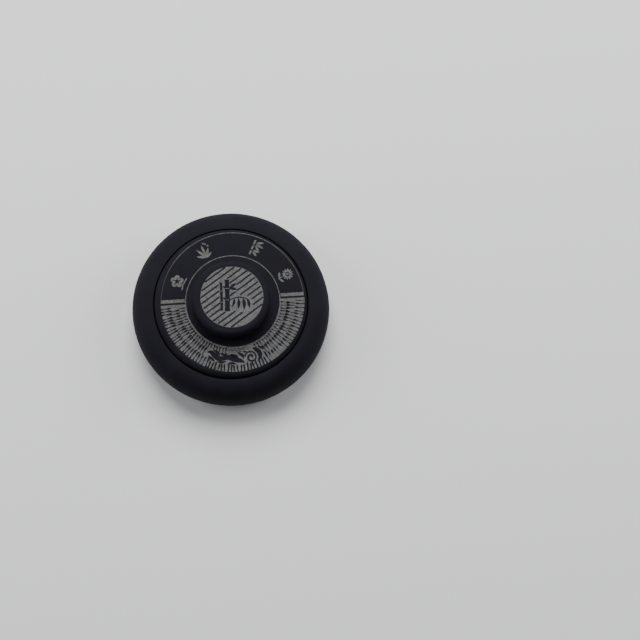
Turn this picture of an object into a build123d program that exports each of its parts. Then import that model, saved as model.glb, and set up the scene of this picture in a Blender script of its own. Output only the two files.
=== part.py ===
from build123d import *

import os
from math import cos, radians, sin

# Round lidded inkstone, turned from black stone: a bowl with a bulging wall, a lid that drops
# into a rebate in its mouth, and engraved marks in the lid, filled with grey pigment.
# Millimetres. +Z is up, the origin is the middle of the underside, and the engraving reads
# the right way up for someone on the -Y side.

os.makedirs("parts", exist_ok=True)

# Bowl
BODY_RADIUS = 50.0  # at the widest, half way up the wall
BODY_HEIGHT = 24.0
BELLY_REACH = 10.5  # how far the wall bulges beyond its flat top and foot
FOOT_RADIUS = 39.0
FOOT_HEIGHT = 0.8  # the bulge starts this far above the foot ring's flat
FOOT_RECESS_RADIUS = 27.0
FOOT_RECESS_DEPTH = 1.2
SEAT_RADIUS = 38.6  # rebate that the lid sits in
SEAT_Z = 18.0
WELL_RADIUS = 35.6
WELL_FLOOR_Z = 10.0
WELL_FILLET = 3.0
RIM_ROUND = 0.35
WELL_CHAMFER = 0.3

# Crescent ink pool, sunk in the back of the well's floor: a disc less a larger disc
POOL_RADIUS = 30.5
POOL_INNER_RADIUS = 34.0
POOL_INNER_Y = -18.0
POOL_DEPTH = 4.5
POOL_TIP_ROUND = 2.0
POOL_FLOOR_FILLET = 1.8
POOL_EDGE_ROUND = 1.2

# Lid, with its knob turned from the same stone
LID_RADIUS = 38.25
LID_TOP_Z = BODY_HEIGHT + 2.0  # the lid stands a little proud
LID_SHOULDER = 3.0
PLUG_RADIUS = 35.1  # step under the lid, which centres it in the well's mouth
PLUG_Z = SEAT_Z - 1.5
PLUG_CHAMFER = 0.8
KNOB_RADIUS = 18.9
KNOB_HEIGHT = 9.0
KNOB_ROUND = 2.2
KNOB_FOOT_FILLET = 2.0
KNOB_TOP_Z = LID_TOP_Z + KNOB_HEIGHT

# Engraving, cut a little off the lid's centre
MARK_X = 0.95
MARK_Y = 0.5
CUT_DEPTH = 0.30
PIGMENT_THICKNESS = 0.20
FIELD_RADIUS = 15.45  # disc on the knob
FIELD_X = 0.6
FIELD_Y = 0.5
RING_RADIUS = 23.2  # line round the knob's foot, inner edge
RING_WIDTH = 0.5
BORDER_RADIUS = 35.8  # outer edge of the engraving
BORDER_WIDTH = 0.5
BAND_TOP_Y = -0.15  # the band fills the half ring below this line
BAR_LOW_Y = 0.75
BAR_HIGH_Y = 2.55
BAR_INSET = 0.15  # between the bars' ends and the two lines
PLANT_RING = 29.6  # radius at which the four plants stand
PLANT_ANGLES = (66.5, 26.5, -26.5, -66.5)  # turned from the top, left to right


def leaf(length, width, root, turn):
    """A pointed leaf that starts at its root and lies along the direction turn."""
    along = Vector(cos(radians(turn)), sin(radians(turn)))
    across = Vector(-along.Y, along.X) * width / 2
    start = Vector(*root)
    with BuildLine() as outline:
        ThreePointArc(start, start + along * length / 2 + across, start + along * length)
        ThreePointArc(start, start + along * length / 2 - across, start + along * length)
    make_face(outline.edges())


def stroke(width, *points):
    """A bent line of even width through the points."""
    with BuildLine() as path:
        Polyline(*points)
    trace(path.line, line_width=width)


def plum_blossom():
    with PolarLocations(2.0, 5, start_angle=90):
        Circle(1.32)
    with PolarLocations(1.25, 5, start_angle=90):
        SlotOverall(1.6, 0.36, mode=Mode.SUBTRACT)
    stroke(0.75, (-3.4, -3.9), (-0.8, -3.4), (3.3, -4.0))


def orchid():
    for length, turn in ((7.3, 84), (6.9, 112), (5.3, 143), (5.5, 54), (4.1, 24)):
        leaf(length, 1.3, (-0.2, -3.7), turn)
    with Locations((2.5, 2.9), (3.3, 1.6), (1.7, 3.8)):
        Circle(0.55)


def bamboo():
    for bottom, top in ((-4.0, -1.8), (-1.3, 1.0), (1.5, 4.0)):
        stroke(1.0, (-1.9, bottom), (-1.8, top))
    for length, root, turn in (
        (4.2, (-1.0, 2.4), 26),
        (4.4, (-0.9, 1.9), -6),
        (3.9, (-1.0, 1.4), -40),
        (3.7, (-1.1, -1.5), 6),
        (3.4, (-1.1, -2.0), -30),
    ):
        leaf(length, 1.3, root, turn)


def chrysanthemum():
    for turn in range(0, 360, 30):
        leaf(3.1, 1.15, (0, 1.1), turn)
    with Locations((0, 1.1)):
        Circle(1.05, mode=Mode.SUBTRACT)
        Circle(0.6)
    stroke(0.75, (0, -2.1), (0.2, -4.1))
    leaf(3.0, 1.15, (0.4, -3.8), 32)
    leaf(3.0, 1.15, (-0.1, -3.6), 150)


# Where each engraved area lies, seen from above. Each is the foot of a prism that passes
# right through the lid's top surface. A strip is wider than the lid, and is cut to its circles.
STRIP = 2 * BODY_RADIUS
FROM_LINE_UP = (Align.CENTER, Align.MIN)
FROM_LINE_DOWN = (Align.CENTER, Align.MAX)

with BuildSketch(Plane.XY.offset(SEAT_Z)) as foot_ring_area:
    with Locations((MARK_X, MARK_Y)):
        Circle(RING_RADIUS + RING_WIDTH)
        Circle(RING_RADIUS, mode=Mode.SUBTRACT)

with BuildSketch(Plane.XY.offset(SEAT_Z)) as wave_band_area:
    with Locations((MARK_X, MARK_Y)):
        Circle(BORDER_RADIUS)
        Circle(RING_RADIUS + RING_WIDTH, mode=Mode.SUBTRACT)
    with Locations((MARK_X, MARK_Y + BAND_TOP_Y)):
        Rectangle(STRIP, STRIP, align=FROM_LINE_UP, mode=Mode.SUBTRACT)

with BuildSketch(Plane.XY.offset(SEAT_Z)) as border_line_area:
    with Locations((MARK_X, MARK_Y)):
        Circle(BORDER_RADIUS)
        Circle(BORDER_RADIUS - BORDER_WIDTH, mode=Mode.SUBTRACT)
    with Locations((MARK_X, MARK_Y + BAR_HIGH_Y)):
        Rectangle(STRIP, STRIP, align=FROM_LINE_DOWN, mode=Mode.SUBTRACT)

with BuildSketch(Plane.XY.offset(SEAT_Z)) as divider_bars_area:
    with Locations((MARK_X, MARK_Y)):
        Circle(BORDER_RADIUS - BAR_INSET)
        Circle(RING_RADIUS + RING_WIDTH + BAR_INSET, mode=Mode.SUBTRACT)
    with Locations((MARK_X, MARK_Y + BAR_LOW_Y)):
        Rectangle(STRIP, BAR_HIGH_Y - BAR_LOW_Y, align=FROM_LINE_UP, mode=Mode.INTERSECT)

with BuildSketch(Plane.XY.offset(SEAT_Z)) as four_plants_area:
    for plant_angle, draw_plant in zip(PLANT_ANGLES, (plum_blossom, orchid, bamboo, chrysanthemum)):
        with BuildSketch(Plane.XY, mode=Mode.PRIVATE) as plant:
            draw_plant()
        plant_x = MARK_X - PLANT_RING * sin(radians(plant_angle))
        plant_y = MARK_Y + PLANT_RING * cos(radians(plant_angle))
        with Locations(Location((plant_x, plant_y, 0), (0, 0, plant_angle))):
            add(plant.sketch)

with BuildSketch(Plane.XY.offset(LID_TOP_Z)) as knob_field_area:
    with Locations((FIELD_X, FIELD_Y)):
        Circle(FIELD_RADIUS)

AREAS = {
    "foot_ring_pigment": foot_ring_area,
    "wave_band_pigment": wave_band_area,
    "border_line_pigment": border_line_area,
    "divider_bars_pigment": divider_bars_area,
    "four_plants_pigment": four_plants_area,
    "knob_field_pigment": knob_field_area,
}


def circles(part, radius):
    """The part's circular edges of one radius, lowest first."""
    edges = part.edges().filter_by(GeomType.CIRCLE)
    return edges.filter_by(lambda edge: abs(edge.radius - radius) < 0.01).sort_by(Axis.Z)


# The bowl: foot, bulging wall, rim, rebate for the lid, and the well, in one revolved outline.
belly_centre = BODY_RADIUS - BELLY_REACH
belly_rise = (BODY_HEIGHT - FOOT_HEIGHT) / 2
with BuildPart() as body:
    with BuildSketch(Plane.XZ):
        with BuildLine():
            Polyline(
                (0, FOOT_RECESS_DEPTH),
                (FOOT_RECESS_RADIUS, FOOT_RECESS_DEPTH),
                (FOOT_RECESS_RADIUS + FOOT_RECESS_DEPTH, 0),
                (FOOT_RADIUS, 0),
                (belly_centre, FOOT_HEIGHT),
            )
            EllipticalCenterArc(
                (belly_centre, FOOT_HEIGHT + belly_rise),
                BELLY_REACH,
                belly_rise,
                start_angle=-90,
                arc_size=180,
            )
            Polyline(
                (belly_centre, BODY_HEIGHT),
                (SEAT_RADIUS, BODY_HEIGHT),
                (SEAT_RADIUS, SEAT_Z),
                (WELL_RADIUS, SEAT_Z),
                (WELL_RADIUS, WELL_FLOOR_Z),
                (0, WELL_FLOOR_Z),
                (0, FOOT_RECESS_DEPTH),
            )
        make_face()
    revolve(axis=Axis.Z)
    fillet(circles(body, SEAT_RADIUS)[-1], RIM_ROUND)
    chamfer(circles(body, WELL_RADIUS)[-1], WELL_CHAMFER)
    fillet(circles(body, WELL_RADIUS)[0], WELL_FILLET)
    with BuildSketch(Plane.XY.offset(WELL_FLOOR_Z)) as pool:
        Circle(POOL_RADIUS)
        with Locations((0, POOL_INNER_Y)):
            Circle(POOL_INNER_RADIUS, mode=Mode.SUBTRACT)
        fillet(pool.vertices(), POOL_TIP_ROUND)
    extrude(amount=-POOL_DEPTH, mode=Mode.SUBTRACT)
    pool_floor_z = WELL_FLOOR_Z - POOL_DEPTH
    pool_floor = body.faces().filter_by_position(Axis.Z, pool_floor_z, pool_floor_z)
    fillet(pool_floor.edges(), POOL_FLOOR_FILLET)
    level_faces = body.faces().filter_by_position(Axis.Z, WELL_FLOOR_Z, WELL_FLOOR_Z)
    well_floor = level_faces.sort_by(SortBy.AREA)[-1]
    fillet(well_floor.inner_wires().edges(), POOL_EDGE_ROUND)
body.part.label = "inkstone_body"
export_step(body.part, "parts/inkstone_body.step")

# The lid before it was engraved: plug, flange and knob in one revolved outline.
with BuildPart() as lid_blank:
    with BuildSketch(Plane.XZ):
        with BuildLine():
            Polyline(
                (0, PLUG_Z),
                (PLUG_RADIUS, PLUG_Z),
                (PLUG_RADIUS, SEAT_Z),
                (LID_RADIUS, SEAT_Z),
                (LID_RADIUS, LID_TOP_Z),
                (KNOB_RADIUS, LID_TOP_Z),
                (KNOB_RADIUS, KNOB_TOP_Z),
                (0, KNOB_TOP_Z),
                close=True,
            )
        make_face()
    revolve(axis=Axis.Z)
    fillet(circles(lid_blank, KNOB_RADIUS)[-1], KNOB_ROUND)
    fillet(circles(lid_blank, KNOB_RADIUS)[0], KNOB_FOOT_FILLET)
    fillet(circles(lid_blank, LID_RADIUS)[-1], LID_SHOULDER)
    chamfer(circles(lid_blank, PLUG_RADIUS)[0], PLUG_CHAMFER)

# Each pigment fill is a thin layer that follows the lid's surface, a little below it.
pockets = []
for name, area in AREAS.items():
    with BuildPart() as pocket:
        extrude(area.sketch, amount=KNOB_TOP_Z)
        add(lid_blank.part, mode=Mode.INTERSECT)
        add(Pos(0, 0, -CUT_DEPTH) * lid_blank.part, mode=Mode.SUBTRACT)
    pockets.append(pocket.part)
    with BuildPart() as pigment:
        add(pocket.part)
        add(Pos(0, 0, PIGMENT_THICKNESS - CUT_DEPTH) * lid_blank.part, mode=Mode.INTERSECT)
    pigment.part.label = name
    export_step(pigment.part, f"parts/{name}.step")

# The lid as it is, with the engraving's pockets cut into it.
with BuildPart() as lid:
    add(lid_blank.part)
    add(pockets, mode=Mode.SUBTRACT)
lid.part.label = "lid"
export_step(lid.part, "parts/lid.step")
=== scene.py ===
import math
import random

import bmesh
import bpy
from mathutils import Matrix, Vector

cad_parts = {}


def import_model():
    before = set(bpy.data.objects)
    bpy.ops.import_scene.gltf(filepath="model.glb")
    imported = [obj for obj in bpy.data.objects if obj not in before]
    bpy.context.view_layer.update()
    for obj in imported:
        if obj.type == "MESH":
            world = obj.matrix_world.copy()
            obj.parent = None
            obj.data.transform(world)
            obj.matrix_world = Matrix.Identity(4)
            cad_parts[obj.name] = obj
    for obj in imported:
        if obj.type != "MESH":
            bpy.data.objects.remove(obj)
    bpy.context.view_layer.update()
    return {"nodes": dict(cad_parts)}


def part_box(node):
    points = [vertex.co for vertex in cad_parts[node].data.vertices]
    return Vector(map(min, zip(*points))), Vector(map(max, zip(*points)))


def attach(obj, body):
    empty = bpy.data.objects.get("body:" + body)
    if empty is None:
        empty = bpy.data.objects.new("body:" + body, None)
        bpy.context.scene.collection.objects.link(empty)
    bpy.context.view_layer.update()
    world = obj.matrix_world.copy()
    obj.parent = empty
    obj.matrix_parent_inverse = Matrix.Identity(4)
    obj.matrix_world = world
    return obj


# A round black lidded inkstone. The turned stone and the grey fills of its engraving come from
# the frame. This script gives them their finish, and adds the stone lands that stand in the grey:
# the band's feathered rays, cloud scroll and ripples, and the knob's hatching and bamboo.

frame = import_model()

MM = 0.001

# Places from the frame, in millimetres
LID_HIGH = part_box("lid")[1] / MM
BOWL_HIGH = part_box("inkstone_body")[1] / MM
RING_LOW, RING_HIGH = (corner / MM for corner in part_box("foot_ring_pigment"))
BAND_LOW, BAND_HIGH = (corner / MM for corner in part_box("wave_band_pigment"))
FIELD_LOW, FIELD_HIGH = (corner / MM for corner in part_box("knob_field_pigment"))

RECESS = 0.1  # how far the grey lies below the stone
POCKET = 0.3  # depth of the engraved pockets
SHOULDER = 3.0  # round of the lid's outer edge
LID_RADIUS = LID_HIGH.x
LID_TOP = RING_HIGH.z + RECESS
KNOB_TOP = LID_HIGH.z
MARK = (RING_LOW + RING_HIGH) / 2  # the engraving's centre, a little off the lid's
BAND_OUTER = (BAND_HIGH.x - BAND_LOW.x) / 2
BAND_TOP = BAND_HIGH.y - MARK.y
FIELD = (FIELD_LOW + FIELD_HIGH) / 2
FIELD_RADIUS = (FIELD_HIGH.x - FIELD_LOW.x) / 2

LAND_DROP = 0.01  # the lands stop just under the stone's surface
LAND_SLOPE = 0.05  # how far each side of a land leans in
LAND_LEAST_FOOT = 0.02  # narrowest foot, and half the narrowest top, at a land's pointed end
LAND_LEAST_TOP = 0.006
EDGE_GAP = 0.05  # between a land's end and the band's outer edge


# Surfaces that the engraving is cut in

def lid_surface(x, y):
    """Height of the lid's face, which rounds over at its shoulder."""
    beyond = math.hypot(x, y) - (LID_RADIUS - SHOULDER)
    if beyond <= 0:
        return LID_TOP
    return LID_TOP - SHOULDER + math.sqrt(SHOULDER**2 - min(beyond, SHOULDER) ** 2)


def knob_surface(x, y):
    return KNOB_TOP


def on_band(angle, radius):
    """A place in the band: degrees from the bottom, positive to the right, and its radius."""
    turn = math.radians(angle)
    return MARK.x + radius * math.sin(turn), MARK.y - radius * math.cos(turn)


def on_field(x, y):
    return FIELD.x + x, FIELD.y + y


# Lands: narrow bars of stone left standing in the grey

def between(t, before, start, end, after):
    """One coordinate of a Catmull-Rom curve, a share t of the way from start to end."""
    square = 2 * before - 5 * start + 4 * end - after
    cube = 3 * start - before - 3 * end + after
    return 0.5 * (2 * start + (end - before) * t + square * t**2 + cube * t**3)


def smooth(points, steps=6):
    """A Catmull-Rom curve through points of (x, y, width)."""
    padded = [points[0], *points, points[-1]]
    curve = []
    for corners in zip(padded, padded[1:], padded[2:], padded[3:]):
        for step in range(steps):
            curve.append(tuple(between(step / steps, *values) for values in zip(*corners)))
    curve.append(tuple(points[-1]))
    return curve


def add_land(mesh, points, surface):
    """One closed bar along points of (x, y, width): its foot in the pocket's floor, its top flush."""
    rows = []
    for i, (x, y, width) in enumerate(points):
        before, after = points[max(i - 1, 0)], points[min(i + 1, len(points) - 1)]
        along = Vector((after[0] - before[0], after[1] - before[1])).normalized()
        side = Vector((-along.y, along.x))
        foot = side * max(width, LAND_LEAST_FOOT) / 2
        top = side * max(width / 2 - LAND_SLOPE, LAND_LEAST_TOP)
        low, high = surface(x, y) - POCKET, surface(x, y) - LAND_DROP
        row = []
        for offset, z in ((foot, low), (top, high), (-top, high), (-foot, low)):
            row.append(mesh.verts.new(((x + offset.x) * MM, (y + offset.y) * MM, z * MM)))
        rows.append(row)
    for row, following in zip(rows, rows[1:]):
        for i in range(4):
            mesh.faces.new((row[i], row[(i + 1) % 4], following[(i + 1) % 4], following[i]))
    mesh.faces.new(reversed(rows[0]))
    mesh.faces.new(rows[-1])


def lands(name, strokes, surface):
    """One piece made of many lands, riding on the lid."""
    mesh = bmesh.new()
    for stroke in strokes:
        add_land(mesh, stroke, surface)
    bmesh.ops.recalc_face_normals(mesh, faces=mesh.faces)
    data = bpy.data.meshes.new(name)
    mesh.to_mesh(data)
    mesh.free()
    piece = bpy.data.objects.new(name, data)
    bpy.context.scene.collection.objects.link(piece)
    data.materials.append(STONE)
    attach(piece, "lid")
    return piece


# The band under the two bars

# Each row of rays: inner and outer radius, degrees between rays, and their width at steps along them
LEFT_ROWS = (
    (23.9, 26.8, 3.35, (0.95, 0.75, 0.5, 0.5, 0.4)),
    (26.6, 31.3, 3.0, (0.6, 1.1, 0.85, 0.5, 0.38, 0.38, 0.35)),
    (30.6, 35.75, 2.75, (0.35, 1.1, 0.72, 0.42, 0.55, 1.1)),
)
RIGHT_ROWS = (
    (23.9, 26.6, 3.5, (0.95, 0.6, 0.38, 0.34, 0.3)),
    (26.6, 31.0, 3.3, (0.9, 1.45, 0.9, 0.45, 0.4, 0.38, 0.34)),
    (30.8, 35.75, 2.95, (0.4, 1.0, 0.9, 0.42, 0.42, 0.5, 0.9)),
)
FAINT = (0.35, 1.1, 0.8, 0.2, 0.16, 0.2, 0.3)  # the outer row's rays in its plain patch
PLAIN_LEFT, PLAIN_RIGHT = 28.0, 43.0  # degrees
CLEAR = ((-9.0, 21.0), (-30.0, 27.0), (-25.0, 26.0))  # each row leaves this out, for the scroll
FIRST_RAY, LAST_RAY = 1.2, 87.5  # degrees from the bottom
UNDER_BARS = 1.9  # clear height between the band's top edge and the first rays
LOW_LINE_DROP = 1.6  # a short line lies this far under the band's top edge, at the right
LOW_LINE = ((31.0, 0.1), (32.2, 0.4), (34.2, 0.45), (35.4, 0.3))  # its (distance right, width)


def ray(angle, inner, outer, widths, dice):
    """A tapering ray, slightly uneven, as if cut by hand."""
    lean = dice.uniform(-0.5, 0.5)
    shift = dice.uniform(0, 0.3)
    swell = dice.uniform(0.8, 1.15)
    points = []
    for i, width in enumerate(widths):
        t = i / (len(widths) - 1)
        radius = min(inner + shift + (outer - inner) * t, BAND_OUTER - EDGE_GAP)
        points.append((*on_band(angle + lean * t, radius), width * swell))
    return points


def row_of_rays(side, row, inner, outer, pitch, widths, dice):
    """One row's rays on one side of the band, -1 for left and 1 for right."""
    strokes = []
    low, high = CLEAR[row]
    top = MARK.y + BAND_TOP - UNDER_BARS
    angle = FIRST_RAY + pitch * (row % 2) / 2
    while angle < LAST_RAY:
        place = side * angle + dice.uniform(-0.4, 0.4)
        plain_patch = row == 2 and PLAIN_LEFT < place < PLAIN_RIGHT
        if on_band(place, outer)[1] < top and not low < place < high:
            strokes.append(smooth(ray(place, inner, outer, FAINT if plain_patch else widths, dice), 3))
        angle += pitch
    return strokes


def rays():
    dice = random.Random(11)
    strokes = []
    for side, rows in ((-1, LEFT_ROWS), (1, RIGHT_ROWS)):
        for row, shape in enumerate(rows):
            strokes += row_of_rays(side, row, *shape, dice)
    low_line = MARK.y + BAND_TOP - LOW_LINE_DROP
    strokes.append([(MARK.x + x, low_line, width) for x, width in LOW_LINE])
    return strokes


# The cloud scroll: its strokes' (distance along, distance outwards, width)
SCROLL_RADIUS = 29.3
SPINE = (
    (-15.2, -0.6, 0.3), (-13.2, -1.3, 2.0), (-11.0, -0.4, 2.6), (-8.8, 0.6, 2.5), (-6.4, 0.1, 2.2),
    (-4.2, -0.7, 2.4), (-2.0, -0.2, 2.8), (0.4, 0.6, 2.6), (2.4, 1.4, 1.6), (3.6, 2.6, 0.3),
)
WISPS = (
    ((-12.6, -2.8, 0.2), (-11.0, -2.5, 1.1), (-9.4, -1.7, 1.1), (-8.2, -0.8, 0.2)),
    ((-8.6, -2.3, 0.2), (-7.2, -1.8, 1.3), (-5.6, -1.8, 1.1), (-4.4, -2.6, 0.2)),
    ((-3.6, -2.2, 0.2), (-2.0, -1.9, 1.3), (-0.2, -1.4, 1.3), (1.0, -0.7, 0.2)),
    ((0.6, -3.0, 0.2), (2.0, -2.3, 1.3), (3.2, -1.2, 1.4), (3.6, 0.3, 0.3)),
    ((3.6, -3.4, 0.2), (5.0, -2.8, 1.0), (6.0, -2.9, 0.2)),
    ((-14.0, 0.8, 0.2), (-12.6, 1.3, 1.3), (-11.0, 2.0, 1.1), (-10.0, 2.8, 0.2)),
    ((-9.2, 2.5, 0.2), (-7.6, 2.2, 1.1), (-6.0, 1.9, 1.0), (-4.8, 1.2, 0.2)),
    ((-4.6, 2.9, 0.2), (-3.0, 2.2, 1.0), (-1.4, 2.2, 1.0), (-0.2, 2.8, 0.2)),
    ((9.4, -3.6, 0.4), (11.0, -2.2, 2.1), (11.8, -0.3, 2.4), (11.4, 1.6, 2.0), (10.0, 3.3, 0.4)),
    ((12.6, -3.2, 0.4), (13.8, -1.9, 1.3), (14.2, -0.5, 0.4)),
    ((13.6, 0.3, 0.3), (14.1, 1.5, 1.0), (13.6, 2.7, 0.3)),
)


def along_scroll(points):
    """Points of (distance along the scroll, distance outwards, width) set round the band."""
    placed = []
    for s, t, width in points:
        placed.append((*on_band(math.degrees(s / SCROLL_RADIUS), SCROLL_RADIUS + t), width))
    return placed


def curl(middle, radii, first, turns, widths):
    """A spiral round middle, that goes from the first to the second of radii and of widths."""
    steps = int(14 * turns)
    points = []
    for i in range(steps + 1):
        part = i / steps
        turn = math.radians(first) + 2 * math.pi * turns * part
        radius = radii[0] + (radii[1] - radii[0]) * part
        width = widths[0] + (widths[1] - widths[0]) * part
        points.append((middle[0] + radius * math.cos(turn), middle[1] + radius * math.sin(turn), width))
    return points


def scroll():
    """Clouds over waves, a stock ornament, in the band's lowest part."""
    strokes = [smooth(along_scroll(wisp)) for wisp in (SPINE, *WISPS)]
    whorl = curl(middle=(7.2, 0.5), radii=(3.2, 0.6), first=200, turns=1.5, widths=(0.75, 1.1))
    strokes.append(along_scroll(whorl))
    return strokes


RIPPLES = ((24.4, -8, 12), (25.1, -10, 9), (25.9, -7, 7))  # radius, first and last angle
RIPPLE_WIDTH, RIPPLE_END = 0.3, 0.06
RIPPLE_STEPS = 12
CREST_START = 31.9
CREST_PITCH = 2.68  # degrees


def ripples():
    """Fine lines over the scroll, and the waves' short crests under it."""
    dice = random.Random(5)
    strokes = []
    for radius, first, last in RIPPLES:
        line = []
        for i in range(RIPPLE_STEPS + 1):
            width = RIPPLE_WIDTH if 0 < i < RIPPLE_STEPS else RIPPLE_END
            line.append((*on_band(first + (last - first) * i / RIPPLE_STEPS, radius), width))
        strokes.append(line)
    low, high = CLEAR[2]
    angle = low + 1.5
    while angle < high:
        start = CREST_START + dice.uniform(-0.4, 0.4)
        bend = dice.uniform(-0.9, 0.9)
        end = dice.uniform(0.5, 1.2)
        crest = []
        for t, width in ((0, 0.35), (0.3, 1.0), (0.65, 0.7), (1, end)):
            radius = start + (BAND_OUTER - EDGE_GAP - start) * t
            crest.append((*on_band(angle + bend * (1 - t), radius), width))
        strokes.append(smooth(crest, 3))
        angle += CREST_PITCH
    return strokes


# The disc on the knob

HATCH_TILT = 33.65  # degrees
HATCH_PITCH = 2.58
HATCH_WIDTH = 0.8
HATCH_SHIFT = -1.57  # the middle line's distance from the disc's centre
HATCH_STEP = 0.25  # length of each straight piece of a line
HATCH_INSET = 0.12  # between the lines' ends and the disc's edge
HATCH_CLEARANCE = 1.0  # between the last line and the disc's edge
HATCH_LEAST_STEPS = 5  # a line shorter than this is left out


def beside_bamboo(x, y):
    """Whether a place is in the clear space round the bamboo."""
    in_culms = -5.9 < x < -1.0 and -7.3 < y < 9.3
    in_upper_leaves = -1.1 < x < 2.6 and 2.6 < y < 6.6
    in_spray = ((x - 4.6) / 5.3) ** 2 + ((y + 3.6) / 4.3) ** 2 < 1
    return in_culms or in_upper_leaves or in_spray


def hatch():
    """Slanting lines across the disc, which stop short of the bamboo."""
    dice = random.Random(3)
    tilt = math.radians(HATCH_TILT)
    along = Vector((math.cos(tilt), math.sin(tilt)))
    across = Vector((-along.y, along.x))
    reach = FIELD_RADIUS - HATCH_INSET
    strokes = []
    count = int(FIELD_RADIUS / HATCH_PITCH) + 1
    for line in range(-count, count + 1):
        offset = line * HATCH_PITCH + HATCH_SHIFT
        if abs(offset) > reach - HATCH_CLEARANCE:
            continue
        half = math.sqrt(reach**2 - offset**2)
        run = []
        distance = -half + dice.uniform(0, 0.3)
        while distance <= half + HATCH_STEP:
            place = across * offset + along * min(distance, half)
            if distance < half and not beside_bamboo(place.x, place.y):
                run.append(place)
            else:
                if len(run) >= HATCH_LEAST_STEPS:
                    strokes.append(hatch_line(run, dice))
                run = []
            distance += HATCH_STEP
    return strokes


def hatch_line(run, dice):
    """A line through the places in run, narrower at its two ends."""
    points = []
    for i, place in enumerate(run):
        from_end = min(i, len(run) - 1 - i)
        taper = 0.55 if from_end == 0 else 0.85 if from_end == 1 else 1
        width = HATCH_WIDTH * taper * dice.uniform(0.92, 1.08)
        points.append((*on_field(place.x, place.y), width))
    return points


# The bamboo, as (x, y) places from the disc's centre, and widths
CULMS = (
    ((-2.0, 8.8), (-2.1, 4.6), 2.3),
    ((-2.1, 4.2), (-2.25, -1.2), 2.4),
    ((-2.3, -1.6), (-2.6, -7.0), 2.5),
    ((-5.0, 7.6), (-5.05, 3.4), 1.3),
    ((-5.05, 3.0), (-5.15, -2.2), 1.35),
    ((-5.15, -2.6), (-5.4, -6.6), 1.4),
)
TWIG = ((-1.4, -1.5, 0.5), (2.2, -0.5, 0.6), (5.4, -0.7, 0.6), (8.6, -2.3, 0.4))
LEAVES = (
    ((-1.1, 4.3), (0.8, 5.7), (2.8, 6.6), 1.4),
    ((-1.1, 4.0), (0.9, 4.1), (2.9, 3.2), 1.4),
    ((-3.0, 4.3), (-3.7, 5.3), (-4.3, 5.7), 0.8),
    ((-3.2, -1.5), (-3.9, -0.6), (-4.5, -0.2), 0.8),
    ((1.2, -0.9), (0.8, -3.0), (-0.3, -5.2), 1.4),
    ((3.0, -0.7), (3.2, -3.4), (2.6, -6.6), 1.6),
    ((5.2, -0.9), (5.8, -3.6), (5.4, -7.2), 1.7),
    ((7.2, -1.7), (8.1, -3.6), (8.2, -6.3), 1.5),
)


def culm(top, foot, width):
    """One segment of a culm, wider at the joints at its two ends."""
    points = []
    for share, swell in ((0, 1.12), (0.1, 1), (0.5, 0.9), (0.9, 1), (1, 1.12)):
        x = top[0] * (1 - share) + foot[0] * share
        y = top[1] * (1 - share) + foot[1] * share
        points.append((x, y, width * swell))
    return smooth(points, 2)


def bamboo():
    """Two culms in segments, with leaves, drawn as in any brush-painting manual."""
    strokes = [culm(*segment) for segment in CULMS]
    strokes.append(smooth(TWIG))
    for root, middle, tip, width in LEAVES:
        strokes.append(smooth([(*root, 0.12), (*middle, width), (*tip, 0.08)]))
    return [[(*on_field(x, y), width) for x, y, width in stroke] for stroke in strokes]


# Materials

STONE_DARK = (0.0056, 0.0053, 0.0087, 1)
STONE_LIGHT = (0.0100, 0.0096, 0.0150, 1)
STONE_SPECK = (0.075, 0.073, 0.078, 1)
PAINT_DIM = (0.116, 0.116, 0.118, 1)
PAINT_BRIGHT = (0.142, 0.142, 0.143, 1)
PAINT_WORN = (0.068, 0.068, 0.069, 1)
PAINT_PIT = (0.055, 0.055, 0.056, 1)
PAINT_GONE = (0.022, 0.022, 0.024, 1)  # where the border line has lost its paint
FLOOR_COLOUR = (0.77, 0.775, 0.785, 1)


class Shader:
    """A principled material, with short ways to add and join nodes."""

    def __init__(self, name):
        self.material = bpy.data.materials.new(name)
        self.material.use_nodes = True
        self.tree = self.material.node_tree
        self.bsdf = self.tree.nodes["Principled BSDF"]
        self.place = self.add("ShaderNodeTexCoord").outputs["Object"]

    def add(self, kind, settings=None, **inputs):
        node = self.tree.nodes.new(kind)
        for key, value in (settings or {}).items():
            setattr(node, key, value)
        for key, value in inputs.items():
            self.put(node.inputs[key.replace("_", " ")], value)
        return node

    def put(self, socket, value):
        if isinstance(value, bpy.types.NodeSocket):
            self.tree.links.new(value, socket)
        else:
            socket.default_value = value

    def noise(self, scale, detail=3.0, roughness=0.55):
        """A noise of 0 to 1. scale is in cells per millimetre."""
        node = self.add("ShaderNodeTexNoise", Vector=self.place, Scale=scale / MM, Detail=detail)
        self.put(node.inputs["Roughness"], roughness)
        return node.outputs["Fac"]

    def ramp(self, value, low, high, to_low=0.0, to_high=1.0):
        """A value that goes from to_low to to_high while another goes from low to high."""
        node = self.add("ShaderNodeMapRange", Value=value, From_Min=low, From_Max=high)
        self.put(node.inputs["To Min"], to_low)
        self.put(node.inputs["To Max"], to_high)
        return node.outputs["Result"]

    def math(self, operation, first, second=0.0):
        node = self.add("ShaderNodeMath", {"operation": operation})
        self.put(node.inputs[0], first)
        self.put(node.inputs[1], second)
        return node.outputs[0]

    def weigh(self, first, first_share, second, second_share):
        """The sum of two values, each times its share."""
        scaled = self.math("MULTIPLY", first, first_share), self.math("MULTIPLY", second, second_share)
        return self.math("ADD", *scaled)

    def mix(self, factor, first, second):
        node = self.add("ShaderNodeMix", {"data_type": "RGBA"})
        self.put(node.inputs["Factor"], factor)
        self.put(node.inputs["A"], first)
        self.put(node.inputs["B"], second)
        return node.outputs["Result"]

    def bump(self, height, depth, strength=1.0):
        """Relief of this depth in millimetres."""
        node = self.add("ShaderNodeBump", Height=height, Distance=depth * MM, Strength=strength)
        self.tree.links.new(node.outputs["Normal"], self.bsdf.inputs["Normal"])


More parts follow.
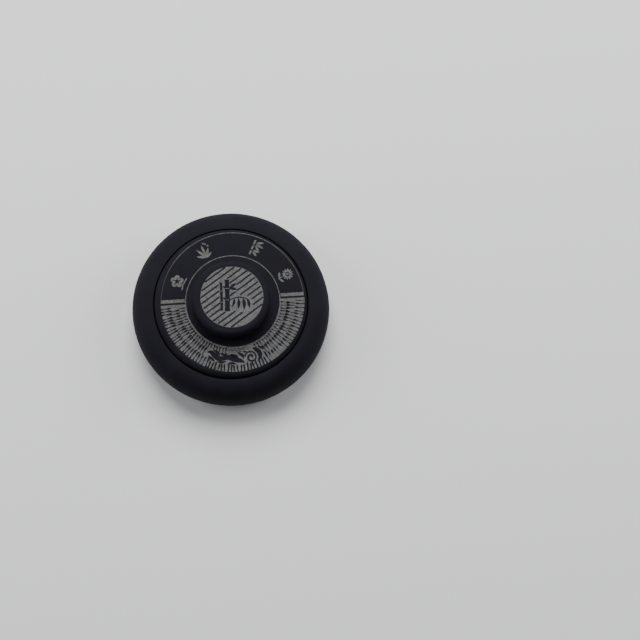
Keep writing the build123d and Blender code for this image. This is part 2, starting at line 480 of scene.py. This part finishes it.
def black_stone():
    """Fine-grained black stone, turned on a lathe and rubbed matt."""
    shader = Shader("black_stone")
    grain = shader.noise(2.2, 4.0, 0.65)
    cloud = shader.noise(0.07, 4.0)
    fine = shader.noise(7.0, 2.0)
    tone = shader.ramp(shader.weigh(cloud, 0.6, grain, 0.4), 0.38, 0.62)
    colour = shader.mix(tone, STONE_DARK, STONE_LIGHT)
    cells = shader.add("ShaderNodeTexVoronoi", Vector=shader.place, Scale=0.9 / MM)
    cell_value = shader.add("ShaderNodeSeparateColor", Color=cells.outputs["Color"]).outputs[0]
    middles = shader.ramp(cells.outputs["Distance"], 0.10, 0.05)
    specks = shader.math("MULTIPLY", middles, shader.ramp(cell_value, 0.62, 0.7))
    colour = shader.mix(shader.math("MULTIPLY", specks, 0.5), colour, STONE_SPECK)
    shader.put(shader.bsdf.inputs["Base Color"], colour)
    roughness = shader.ramp(shader.math("ADD", grain, cloud), 0.75, 1.25, 0.64, 0.78)
    shader.put(shader.bsdf.inputs["Roughness"], roughness)
    shader.bsdf.inputs["Specular IOR Level"].default_value = 0.09
    turning_marks = shader.add(
        "ShaderNodeTexWave", {"wave_type": "RINGS", "rings_direction": "Z"},
        Vector=shader.place, Scale=0.5 / MM, Distortion=1.5, Detail=2.0,
    )
    relief = shader.weigh(grain, 0.7, fine, 0.35)
    relief = shader.math("ADD", relief, shader.math("MULTIPLY", turning_marks.outputs["Fac"], 0.12))
    shader.bump(relief, 0.05, 0.5)
    return shader.material


def grey_pigment(name, fades=False):
    """Matt grey paint rubbed into stone that a laser or a point has stippled."""
    shader = Shader(name)
    stipple = shader.noise(4.5, 2.0, 0.7)
    patches = shader.noise(0.35, 3.0)
    wear = shader.ramp(shader.noise(1.3, 2.0), 0.36, 0.56)
    light = shader.mix(shader.ramp(patches, 0.35, 0.65), PAINT_DIM, PAINT_BRIGHT)
    light = shader.mix(wear, PAINT_WORN, light)
    colour = shader.mix(shader.ramp(stipple, 0.30, 0.52), PAINT_PIT, light)
    if fades:
        colour = shader.mix(border_strength(shader), PAINT_GONE, colour)
    shader.put(shader.bsdf.inputs["Base Color"], colour)
    shader.put(shader.bsdf.inputs["Roughness"], shader.ramp(stipple, 0.3, 0.7, 0.92, 0.75))
    shader.bsdf.inputs["Specular IOR Level"].default_value = 0.25
    shader.bump(stipple, 0.04, 0.6)
    return shader.material


def border_strength(shader):
    """How much paint the upper border line has kept: least at its left end, patchy at its right."""
    parts = shader.add("ShaderNodeSeparateXYZ", Vector=shader.place)
    x = shader.math("SUBTRACT", parts.outputs["X"], MARK.x * MM)
    y = shader.math("SUBTRACT", parts.outputs["Y"], MARK.y * MM)
    turn = shader.math("ARCTAN2", x, y)
    left = shader.ramp(turn, math.radians(-72), math.radians(-40), 0.12, 0.75)
    right = shader.ramp(turn, math.radians(80), math.radians(35), 0.35, 1.0)
    patchy = shader.ramp(shader.noise(0.5, 2.0), 0.3, 0.6, 0.55, 1.0)
    return shader.math("MULTIPLY", shader.math("MULTIPLY", left, right), patchy)


def pale_floor():
    shader = Shader("pale_floor")
    shader.bsdf.inputs["Base Color"].default_value = FLOOR_COLOUR
    shader.bsdf.inputs["Roughness"].default_value = 0.9
    shader.bsdf.inputs["Specular IOR Level"].default_value = 0.2
    return shader.material


STONE = black_stone()
PIGMENT = grey_pigment("grey_pigment")
BORDER_PIGMENT = grey_pigment("grey_pigment_worn", fades=True)


def finish_cad():
    """The frame's own nodes keep their shape and get their finish."""
    for name, node in frame["nodes"].items():
        if name in ("inkstone_body", "lid"):
            finish = STONE
        elif name == "border_line_pigment":
            finish = BORDER_PIGMENT
        else:
            finish = PIGMENT
        node.data.materials.clear()
        node.data.materials.append(finish)


# Stage

CAMERA_DISTANCE = 0.5635  # metres
CAMERA_ELEVATION = 76.8  # degrees above the floor
CAMERA_ROLL = 3.5  # degrees, the engraving leans this far anticlockwise in the picture
CAMERA_LENS = 61.9
CAMERA_SENSOR = 36
CAMERA_PAN = 4.6  # degrees, which puts the object this far left of the picture's middle
CAMERA_TILT = -0.6
FLOOR_REACH = 1.5  # metres from its middle to each side
WORLD_COLOUR = (0.96, 0.96, 1, 1)
WORLD_STRENGTH = 0.12
LIGHTS = (  # place and width in metres, and watts
    ("window", (0, 0.75, 0.95), 0.9, 20.0),
    ("left_wall", (-1.05, 0.3, 0.6), 0.8, 8.4),
    ("right_wall", (1.05, 0.3, 0.6), 0.8, 8.4),
)


def camera():
    target = Vector((0, 0, BOWL_HIGH.z / 2 * MM))
    rise = math.radians(CAMERA_ELEVATION)
    place = target + CAMERA_DISTANCE * Vector((0, -math.cos(rise), math.sin(rise)))
    turn = (target - place).to_track_quat("-Z", "Y").to_matrix().to_4x4()
    turn @= Matrix.Rotation(math.radians(-CAMERA_ROLL), 4, "Z")
    turn @= Matrix.Rotation(math.radians(-CAMERA_PAN), 4, "Y")
    turn @= Matrix.Rotation(math.radians(CAMERA_TILT), 4, "X")
    data = bpy.data.cameras.new("camera")
    data.lens = CAMERA_LENS
    data.sensor_width = CAMERA_SENSOR
    piece = bpy.data.objects.new("camera", data)
    piece.matrix_world = Matrix.Translation(place) @ turn
    bpy.context.scene.collection.objects.link(piece)
    bpy.context.scene.camera = piece


def area_light(name, place, size, power):
    """A round light that faces the middle of the floor."""
    data = bpy.data.lights.new(name, "AREA")
    data.shape = "DISK"
    data.size = size
    data.energy = power
    piece = bpy.data.objects.new(name, data)
    piece.location = place
    piece.rotation_euler = (-Vector(place)).to_track_quat("-Z", "Y").to_euler()
    bpy.context.scene.collection.objects.link(piece)


def floor():
    mesh = bmesh.new()
    bmesh.ops.create_grid(mesh, x_segments=2, y_segments=2, size=FLOOR_REACH)
    data = bpy.data.meshes.new("floor")
    mesh.to_mesh(data)
    mesh.free()
    data.materials.append(pale_floor())
    piece = bpy.data.objects.new("floor", data)
    bpy.context.scene.collection.objects.link(piece)


def world():
    room = bpy.data.worlds.new("soft_room")
    room.use_nodes = True
    background = room.node_tree.nodes["Background"]
    background.inputs["Color"].default_value = WORLD_COLOUR
    background.inputs["Strength"].default_value = WORLD_STRENGTH
    bpy.context.scene.world = room


camera()
finish_cad()
lands("band_rays", rays(), lid_surface)
lands("band_scroll", scroll(), lid_surface)
lands("band_ripples", ripples(), lid_surface)
lands("field_hatch", hatch(), knob_surface)
lands("field_bamboo", bamboo(), knob_surface)
floor()
world()
for light in LIGHTS:
    area_light(*light)
